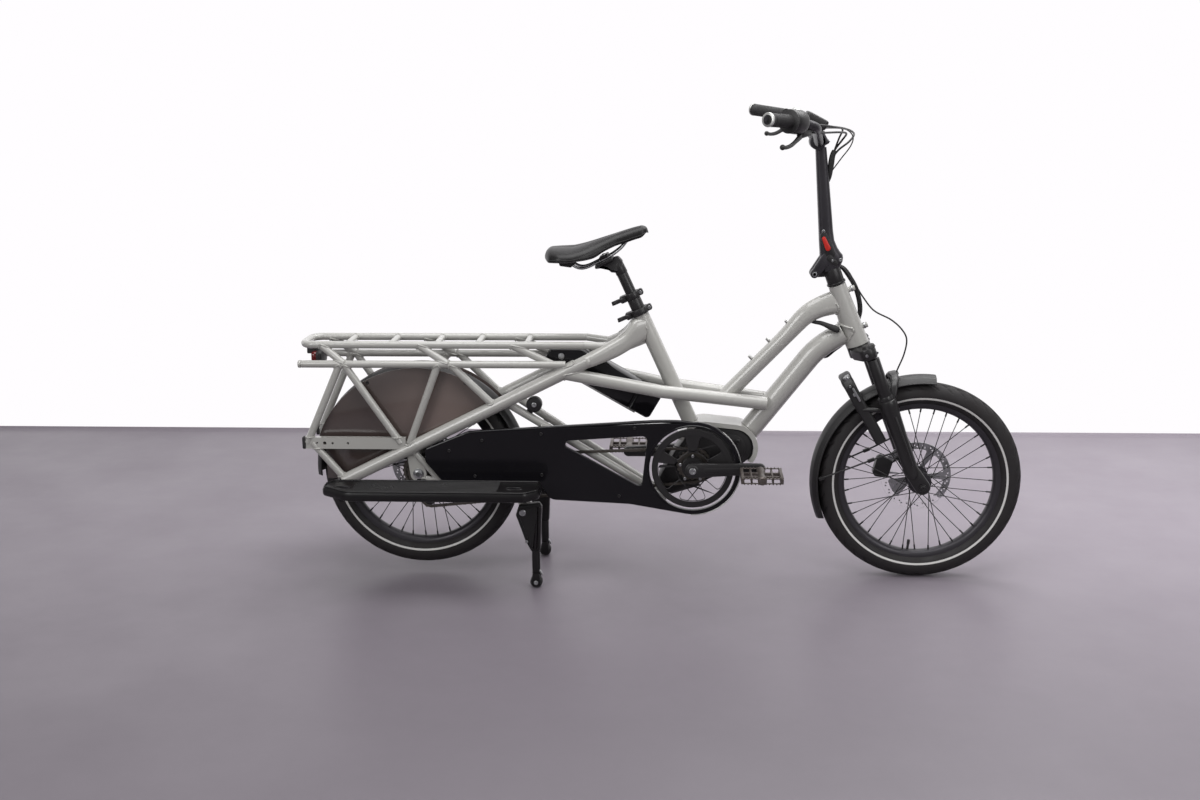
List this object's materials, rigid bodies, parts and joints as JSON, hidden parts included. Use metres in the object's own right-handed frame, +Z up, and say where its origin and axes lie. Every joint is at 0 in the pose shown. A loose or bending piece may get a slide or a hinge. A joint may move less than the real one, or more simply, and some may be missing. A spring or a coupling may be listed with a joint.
{
  "type": "electric cargo bike",
  "caption": "Long-tail electric cargo bicycle with small wheels, a tubular rear rack, footboards, a mid motor, a folding handlepost and a two-legged stand.",
  "frame": {"origin": "on the floor under the middle of the bike's box", "axes": "+X forward, +Y to the rider's left, +Z up; the bike stands on its stand and front tyre"},
  "size_m": [1.8463, 0.6802, 1.2092],
  "materials": {
    "frame_paint": "satin pale grey enamel on welded aluminium tube",
    "black_metal": "black anodised and painted metal",
    "black_plastic": "grained black moulding",
    "gloss_black": "glossy black moulding",
    "smoked_panel": "smoked brown-black translucent sheet",
    "tyre_rubber": "black tyre rubber with a pale reflective stripe",
    "grip_rubber": "soft black rubber",
    "steel": "bare steel",
    "pedal_alloy": "worn bare alloy with rust on its steel cage",
    "red_lens": "red moulded lens",
    "saddle_cover": "black synthetic cover"
  },
  "bodies": {
    "frame": {"head_tube": "frame_paint", "top_tube": "frame_paint", "down_tube": "frame_paint", "seat_tube": "frame_paint", "motor_shell": "frame_paint", "mid_tubes": "frame_paint", "battery_pads": "black_metal", "long_stays": "frame_paint", "truss_right": "frame_paint", "truss_left": "frame_paint", "side_rails": "frame_paint", "tube_plugs": "black_plastic", "rack_deck": "frame_paint", "lower_stays": "frame_paint", "rear_axle": "steel", "motor": "black_plastic", "battery": "gloss_black", "chain_guard": "gloss_black", "chain": "steel", "footboard_right": "black_plastic", "footboard_left": "black_plastic", "footboard_brackets": "black_metal", "rear_mudguard": "black_plastic", "wheel_guards": "smoked_panel", "tail_light": "red_lens", "seat_post": "black_metal", "saddle_rails": "steel", "saddle": "saddle_cover", "derailleur": "black_metal", "rear_brake": "black_metal"},
    "crank": {"crank_arms": "black_metal", "guard_ring": "black_metal"},
    "pedal_right": {"pedal_right": "pedal_alloy"},
    "pedal_left": {"pedal_left": "pedal_alloy"},
    "rear_wheel": {"rear_tyre": "tyre_rubber", "rear_rim": "black_metal", "rear_spokes": "black_metal", "rear_hub": "black_metal", "rear_rotor": "steel"},
    "fork": {"fork_crown": "black_metal", "fork_legs": "black_metal", "front_mudguard": "black_plastic", "ring_lock": "black_plastic", "front_brake": "black_metal"},
    "front_wheel": {"front_tyre": "tyre_rubber", "front_rim": "black_metal", "front_spokes": "black_metal", "front_hub": "black_metal", "front_rotor": "steel"},
    "handlepost": {"handlepost": "black_metal", "handlebar": "black_metal", "grips": "grip_rubber", "bar_controls": "black_plastic"},
    "stand": {"stand_legs": "black_metal", "stand_rollers": "grip_rubber"}
  },
  "joints": [
    {"name": "rear_wheel_spin", "type": "hinge", "parent": "frame", "child": "rear_wheel", "pos_m": [-0.626, 0, 0.2845], "axis": [0, 1, 0], "continuous": true},
    {"name": "crank_spin", "type": "hinge", "parent": "frame", "child": "crank", "pos_m": [0.081, 0, 0.309], "axis": [0, 1, 0], "continuous": true},
    {"name": "pedal_right_spin", "type": "hinge", "parent": "crank", "child": "pedal_right", "pos_m": [0.2509, -0.15, 0.31493], "axis": [0, 1, 0], "continuous": true},
    {"name": "pedal_left_spin", "type": "hinge", "parent": "crank", "child": "pedal_left", "pos_m": [-0.0889, 0.15, 0.30307], "axis": [0, 1, 0], "continuous": true},
    {"name": "steering", "type": "hinge", "parent": "frame", "child": "fork", "pos_m": [0.439, 0, 0.768], "axis": [-0.3486, 0, 0.9373], "range_deg": [-60, 60]},
    {"name": "front_wheel_spin", "type": "hinge", "parent": "fork", "child": "front_wheel", "pos_m": [0.663, 0, 0.26], "axis": [0, 1, 0], "continuous": true},
    {"name": "post_fold", "type": "hinge", "parent": "fork", "child": "handlepost", "pos_m": [0.381, 0, 0.797], "axis": [0, -1, 0], "range_deg": [0, 95]},
    {"name": "stand_swing", "type": "hinge", "parent": "frame", "child": "stand", "pos_m": [-0.35, 0, 0.204], "axis": [0, 1, 0], "range_deg": [0, 95]}
  ]
}
